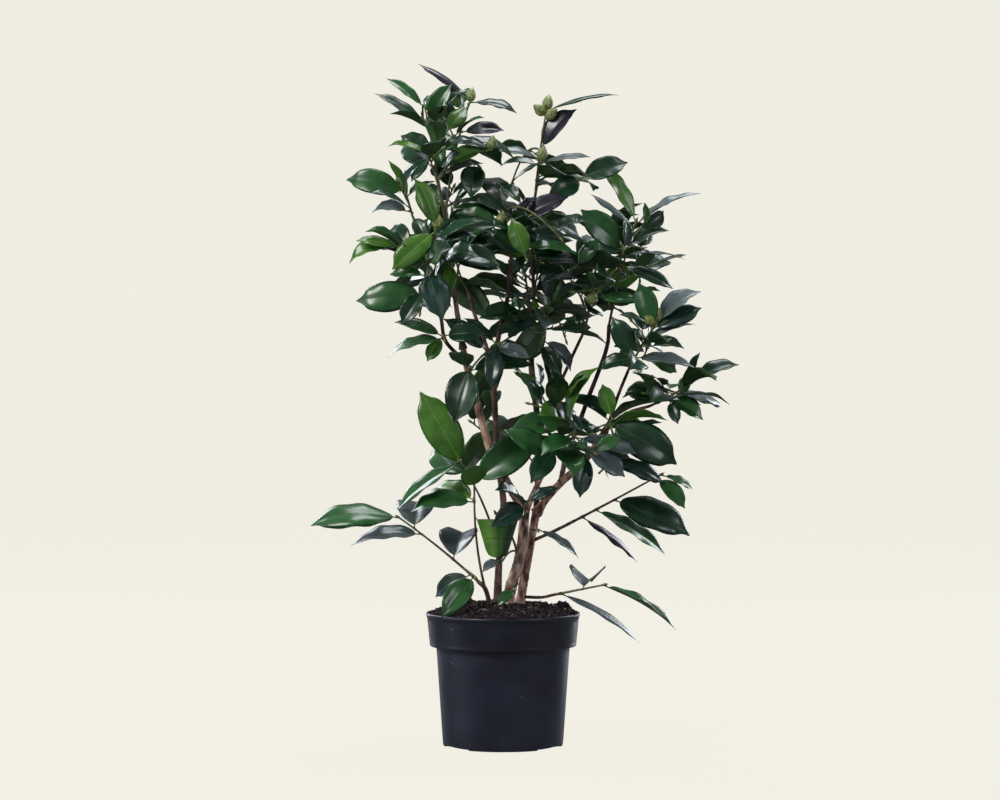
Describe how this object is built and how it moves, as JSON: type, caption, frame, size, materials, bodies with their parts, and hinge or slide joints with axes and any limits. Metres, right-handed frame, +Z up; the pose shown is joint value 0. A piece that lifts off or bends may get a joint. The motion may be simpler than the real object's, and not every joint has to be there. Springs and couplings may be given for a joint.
{
  "type": "potted camellia shrub",
  "caption": "Young evergreen camellia shrub with glossy leaves and flower buds, growing upright from a round black plastic nursery pot filled with soil",
  "frame": {"origin": "centre of the pot's flat underside, on the ground", "axes": "+Z up along the plant's height, +X to the right of someone facing its front, -Y out of its front"},
  "size_m": [0.5809, 0.4343, 0.9303],
  "materials": {
    "pot": "satin",
    "soil": "matte",
    "bark": "matte",
    "foliage": "satin"
  },
  "bodies": {
    "root": {"pot": "pot", "soil": "soil", "trunk_main": "bark", "trunk_right": "bark", "trunk_left": "bark", "sucker_left": "bark", "bough_left": "bark", "bough_left_high": "bark", "bough_left_front": "bark", "bough_left_back": "bark", "bough_inner": "bark", "bough_centre": "bark", "bough_right": "bark", "bough_right_high": "bark", "bough_right_out": "bark", "bough_outer": "bark", "bough_upright": "bark", "bough_slant": "bark", "bough_back": "bark", "bough_low_right": "bark", "bough_foot_right": "bark", "leaves_top_left": "foliage", "leaves_crown_top": "foliage", "leaves_inner_top": "foliage", "leaves_left_shoulder": "foliage", "leaves_left_front": "foliage", "leaves_left_low": "foliage", "leaves_left_back": "foliage", "leaves_centre_front": "foliage", "leaves_right_knot": "foliage", "leaves_right_high": "foliage", "leaves_right_out": "foliage", "leaves_outer_top": "foliage", "leaves_slant_top": "foliage", "leaves_upright_mid": "foliage", "leaves_back_high": "foliage", "leaves_back_low": "foliage", "leaves_left_ground": "foliage", "leaves_left_upright": "foliage", "leaves_left_cross": "foliage", "leaves_low_right": "foliage", "leaves_mid_right": "foliage", "leaves_foot_left": "foliage", "leaves_foot_right": "foliage", "leaves_foot_front": "foliage", "leaves_fork_leaves": "foliage"}
  },
  "joints": []
}
